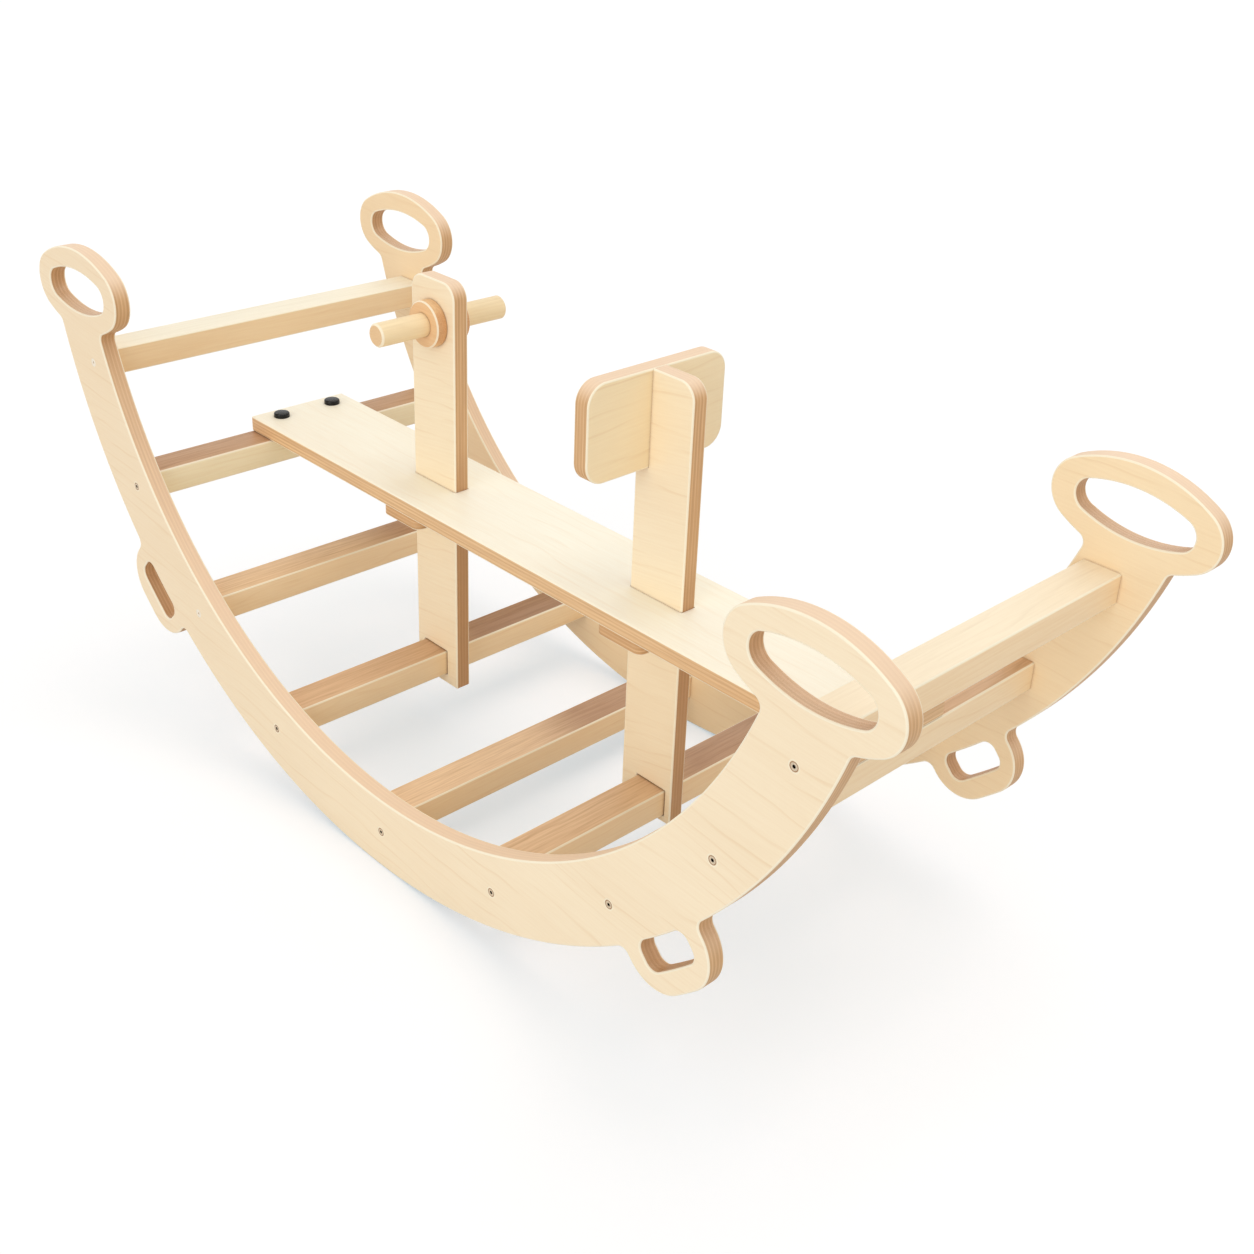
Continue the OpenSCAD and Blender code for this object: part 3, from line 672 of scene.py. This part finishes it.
plain = edge_group("smooth", NO_EDGE)
rounded = edge_group("rounded")
plank_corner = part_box("seat_plank")[1]
plank_group = edge_group("rounded_outline", box=(plank_corner.x, plank_corner.y))
plate_low, plate_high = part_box("backrest_plate")
post_group = edge_group("rounded_post", joints=(("X", plate_high.x), ("Z", plate_low.z)))
finish_edges("backrest_post", post_group, WIDE)
for name in ("near_side_panel", "far_side_panel", "handle_post", "backrest_plate"):
    finish_edges(name, rounded, WIDE)
for name in CLEATS:
    finish_edges(name, rounded, NARROW)
finish_edges("seat_plank", plank_group, WIDE)
for name in nodes:
    if not nodes[name].modifiers:
        finish_edges(name, plain)


# Floor, light and camera

SKY = 0.72
FLOOR_GREY = 0.74
FLOOR_REACH = 40.0
SUN_ANGLE = math.radians(40.0)  # makes the shadows soft

floor_mesh = bpy.data.meshes.new("floor")
floor_mesh.from_pydata(
    [(-FLOOR_REACH, -FLOOR_REACH, 0), (FLOOR_REACH, -FLOOR_REACH, 0),
     (FLOOR_REACH, FLOOR_REACH, 0), (-FLOOR_REACH, FLOOR_REACH, 0)],
    [], [(0, 1, 2, 3)])
floor = bpy.data.objects.new("floor", floor_mesh)
bpy.context.scene.collection.objects.link(floor)

# The floor is white paper, and the camera sees its shadows softened. The wood round a shadow
# fills it with warm light, so the lit part is tinted and the glow makes the sum white again.
# LIT is how bright the lamps make white paper in the open.
LIT = 0.975
SHADOW_SHARE = 0.68
TINT = (0.99, 0.82, 0.75)
WHITE = 1.02
glow = [(WHITE - SHADOW_SHARE * LIT * c) / (1 - SHADOW_SHARE) for c in TINT]
paper = bpy.data.materials.new("white_floor")
paper.use_nodes = True
tree = Tree(paper.node_tree)
for node in list(paper.node_tree.nodes):
    if node.type == "BSDF_PRINCIPLED":
        paper.node_tree.nodes.remove(node)
matt = tree.add("ShaderNodeBsdfDiffuse", {"Color": (FLOOR_GREY, FLOOR_GREY, FLOOR_GREY, 1.0)})
seen = tree.add("ShaderNodeBsdfDiffuse", {"Color": (*TINT, 1.0)})
white = tree.add("ShaderNodeEmission",
                 {"Color": (*(c / max(glow) for c in glow), 1.0), "Strength": max(glow)})
path = paper.node_tree.nodes.new("ShaderNodeLightPath")
softened = tree.add("ShaderNodeMixShader", {0: 1 - SHADOW_SHARE, 1: seen, 2: white})
shader = tree.add("ShaderNodeMixShader",
                  {0: path.outputs["Is Camera Ray"], 1: matt, 2: softened})
paper.node_tree.links.new(
    shader, paper.node_tree.nodes["Material Output"].inputs["Surface"])
floor_mesh.materials.append(paper)

world = bpy.data.worlds.new("studio")
bpy.context.scene.world = world
world.use_nodes = True
tree = Tree(world.node_tree)
dim = world.node_tree.nodes["Background"]
dim.inputs["Color"].default_value = (1.0, 1.0, 1.0, 1.0)
dim.inputs["Strength"].default_value = SKY
bright = tree.add("ShaderNodeBackground", {"Color": (1.0, 1.0, 1.0, 1.0), "Strength": 1.0})
path = world.node_tree.nodes.new("ShaderNodeLightPath")
direct = tree.math("MAXIMUM", path.outputs["Is Camera Ray"], path.outputs["Is Glossy Ray"])
direct = tree.math("MAXIMUM", direct, path.outputs["Is Transmission Ray"])
shown = tree.add("ShaderNodeMixShader", {0: direct, 1: dim.outputs[0], 2: bright})
world.node_tree.links.new(shown, world.node_tree.nodes["World Output"].inputs["Surface"])


def sun(name, toward, strength):
    """Even light from far away, on the side that toward points to."""
    data = bpy.data.lights.new(name, "SUN")
    data.energy = strength
    data.angle = SUN_ANGLE
    lamp = bpy.data.objects.new(name, data)
    lamp.rotation_euler = toward.to_track_quat("Z", "Y").to_euler()
    bpy.context.scene.collection.objects.link(lamp)


sun("key", Vector((0.1, 0.25, 1.0)), 0.61)
sun("front", Vector((0.25, -1.0, 0.3)), 0.82)
sun("rear", Vector((-0.3, 1.0, 0.35)), 0.3)

# The camera was found from the outlines of the panels, the rungs, the plank and the posts.
# PLACE is its place from AIM along its own back, right and up, in steps of UNIT.
FOCAL_PIXELS = 1639.407
PIXELS = 1254.0
CENTRE = (713.997, 539.987)
AZIMUTH, ELEVATION, ROLL = (math.radians(v) for v in (42.41854, 26.12899, 3.89911))
PLACE = (1286.9438, 124.72366, -227.42772)
UNIT = 0.0012
AIM = Vector((0.0, 0.0, 0.6))
SENSOR = 36.0

back = Vector((math.sin(AZIMUTH) * math.cos(ELEVATION),
               -math.cos(AZIMUTH) * math.cos(ELEVATION), math.sin(ELEVATION)))
right = Vector((math.cos(AZIMUTH), math.sin(AZIMUTH), 0.0))
up = back.cross(right)
turned_right = math.cos(ROLL) * right + math.sin(ROLL) * up
turned_up = -math.sin(ROLL) * right + math.cos(ROLL) * up
where = AIM + UNIT * (PLACE[0] * back + PLACE[1] * turned_right + PLACE[2] * turned_up)

view = bpy.data.cameras.new("camera")
view.sensor_width = SENSOR
view.lens = FOCAL_PIXELS * SENSOR / PIXELS
view.shift_x = (PIXELS / 2 - CENTRE[0]) / PIXELS
view.shift_y = (CENTRE[1] - PIXELS / 2) / PIXELS
view.clip_start = 0.05
view.clip_end = 200.0
camera = bpy.data.objects.new("camera", view)
bpy.context.scene.collection.objects.link(camera)
pose = Matrix((turned_right, turned_up, back)).transposed().to_4x4()
pose.translation = where
camera.matrix_world = pose
bpy.context.scene.camera = camera

bpy.context.scene.view_settings.view_transform = "Standard"
